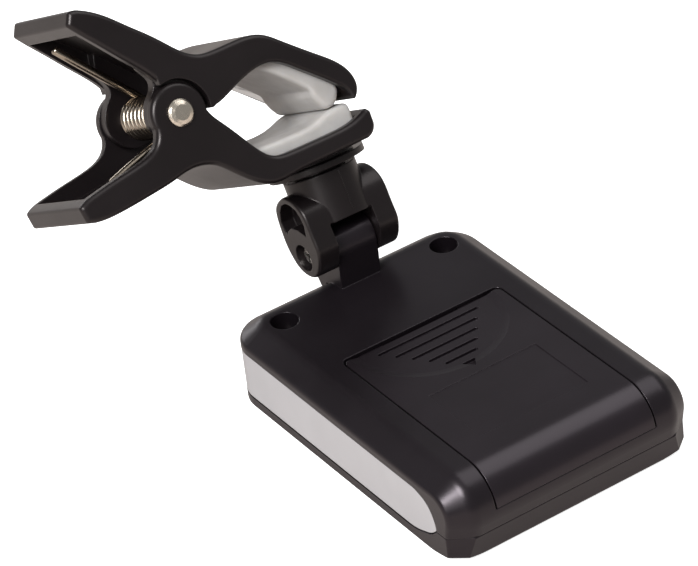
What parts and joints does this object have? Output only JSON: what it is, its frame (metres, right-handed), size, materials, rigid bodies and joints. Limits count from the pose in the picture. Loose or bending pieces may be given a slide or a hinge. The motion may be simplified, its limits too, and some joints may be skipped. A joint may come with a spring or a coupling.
{
  "type": "clip-on instrument tuner",
  "caption": "Flat black tuner head with a sliding battery door and pale side trims, tilted by a yoke on a swivelling spring clip with soft silicone jaw pads.",
  "frame": {"origin": "centre of the front face, on the lens surface the tuner rests on", "axes": "+Z out of the back of the tuner head towards the clip, +Y towards the hinge, +X to the right when looking at the back"},
  "size_m": [0.0649, 0.0911, 0.0681],
  "materials": {
    "black_housing": "satin-gloss moulded ABS",
    "black_clip": "satin-gloss moulded nylon",
    "pale_trim": "pale grey satin ABS",
    "cell_steel": "nickel-plated steel",
    "contact_metal": "phosphor bronze strip",
    "board": "green solder mask",
    "chip": "moulded epoxy",
    "lcd": "cell glass with polariser",
    "backlight": "white diffuser block",
    "zebra": "striped silicone",
    "lens": "clear acrylic",
    "piezo_brass": "brass plate with grey ceramic",
    "button": "soft matt rubber",
    "switch": "black switch body",
    "black_screw": "black-oxide steel",
    "zinc_screw": "zinc-plated steel",
    "silicone": "milky translucent silicone",
    "pin_steel": "nickel-plated steel",
    "spring_wire": "nickel-plated spring wire"
  },
  "bodies": {
    "tuner_head": {"rear_housing": "black_housing", "front_housing": "black_housing", "side_panel_left": "pale_trim", "side_panel_right": "pale_trim", "coin_cell": "cell_steel", "battery_contact_positive": "contact_metal", "battery_contact_negative": "contact_metal", "circuit_board": "board", "tuner_chip": "chip", "lcd_glass": "lcd", "lcd_backlight": "backlight", "zebra_connector": "zebra", "display_lens": "lens", "piezo_disc": "piezo_brass", "tact_switches": "switch", "housing_screws": "black_screw"},
    "yoke": {"yoke": "black_clip", "hinge_screw": "zinc_screw", "hinge_nut": "zinc_screw", "hinge_washer": "zinc_screw", "swivel_screw": "zinc_screw", "swivel_washer": "zinc_screw"},
    "lower_clip": {"lower_arm": "black_clip", "lower_pad": "silicone", "pivot_pin": "pin_steel", "torsion_spring": "spring_wire"},
    "upper_clip": {"upper_arm": "black_clip", "upper_pad": "silicone"},
    "battery_door": {"battery_door": "black_housing"},
    "power_button": {"power_button": "button"},
    "mode_button": {"mode_button": "button"}
  },
  "joints": [
    {"name": "tilt_hinge", "type": "hinge", "parent": "tuner_head", "child": "yoke", "pos_m": [0, 0.0279, 0.0193], "axis": [1, 0, 0], "range_deg": [-75, 50]},
    {"name": "clip_swivel", "type": "hinge", "parent": "yoke", "child": "lower_clip", "pos_m": [0, 0.029, 0.0222], "axis": [0, 0.4787, 0.878], "continuous": true},
    {"name": "jaw_hinge", "type": "hinge", "parent": "lower_clip", "child": "upper_clip", "pos_m": [-0.0228, 0.04164, 0.04538], "axis": [0, -0.878, 0.4787], "range_deg": [0, 35], "deforming": ["torsion_spring"]},
    {"name": "door_slide", "type": "slide", "parent": "tuner_head", "child": "battery_door", "axis": [0, -1, 0], "range_m": [0, 0.042]},
    {"name": "power_press", "type": "slide", "parent": "tuner_head", "child": "power_button", "axis": [0, 0, 1], "range_m": [0, 0.0004]},
    {"name": "mode_press", "type": "slide", "parent": "tuner_head", "child": "mode_button", "axis": [0, 0, 1], "range_m": [0, 0.0004]}
  ]
}
